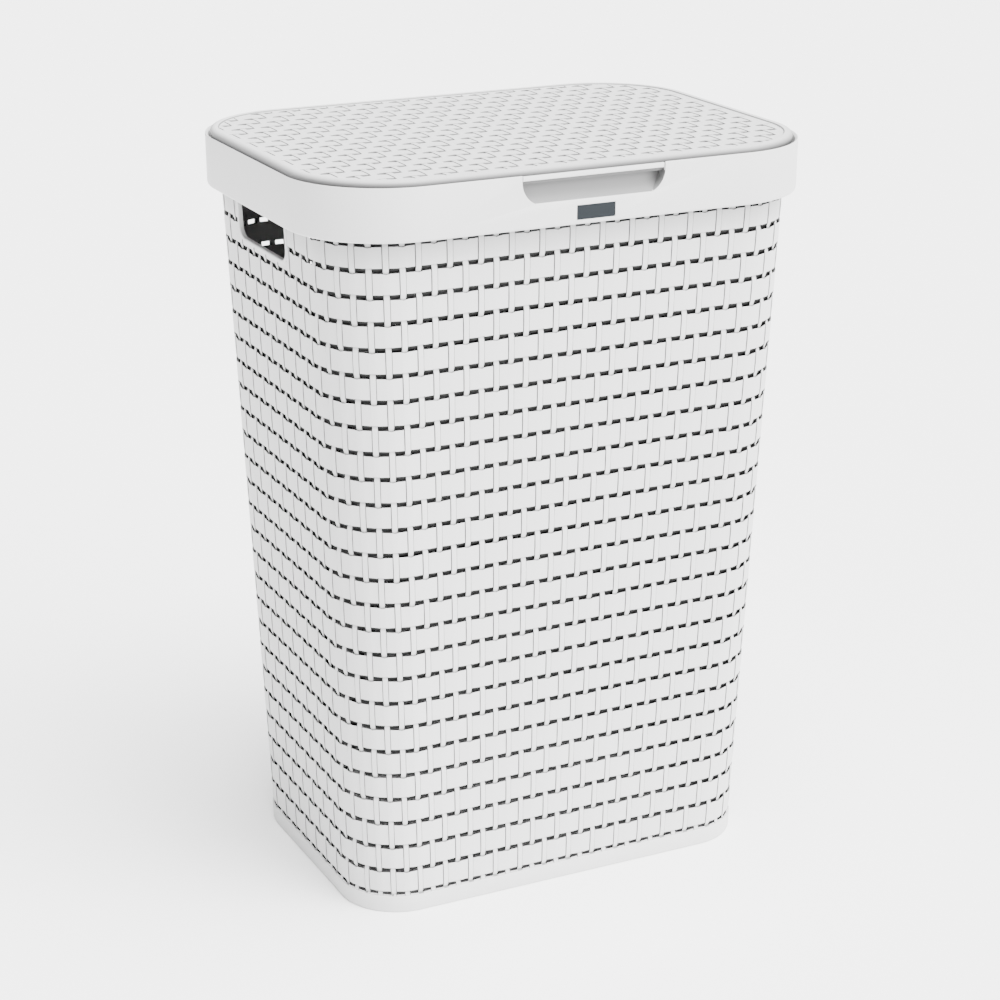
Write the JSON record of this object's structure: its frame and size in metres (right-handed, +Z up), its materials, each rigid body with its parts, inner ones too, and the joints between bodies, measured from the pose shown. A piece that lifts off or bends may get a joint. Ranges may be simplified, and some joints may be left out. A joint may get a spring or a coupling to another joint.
{
  "type": "laundry hamper with hinged lid",
  "caption": "Tall tapered woven-look laundry hamper with a hinged flat lid, a smooth collar with a finger scoop, and a hand hole in each short side.",
  "frame": {"origin": "centre of the base outline, on the surface that the hamper stands on", "axes": "+Z up, +X along the long side, the front with the finger scoop faces -Y"},
  "size_m": [0.42, 0.3076, 0.5943],
  "materials": {
    "white_plastic": "satin moulded polypropylene, very fine grain",
    "label": "blank smooth label, satin"
  },
  "bodies": {
    "basket": {"basket_shell": "white_plastic", "base_tray": "white_plastic", "hand_hole_rim_left": "white_plastic", "hand_hole_rim_right": "white_plastic", "collar_frame": "white_plastic", "collar_snap_front_left": "white_plastic", "collar_snap_front_right": "white_plastic", "collar_snap_rear_left": "white_plastic", "collar_snap_rear_right": "white_plastic", "collar_snap_side_left": "white_plastic", "collar_snap_side_right": "white_plastic", "hinge_lug_left": "white_plastic", "hinge_lug_right": "white_plastic", "label_plate": "label"},
    "lid": {"lid_panel": "white_plastic", "lid_grip_flap": "white_plastic", "hinge_pin_left": "white_plastic", "hinge_pin_right": "white_plastic"}
  },
  "joints": [
    {"name": "lid_hinge", "type": "hinge", "parent": "basket", "child": "lid", "pos_m": [0, 0.147, 0.5885], "axis": [-1, 0, 0], "range_deg": [0, 105]}
  ]
}
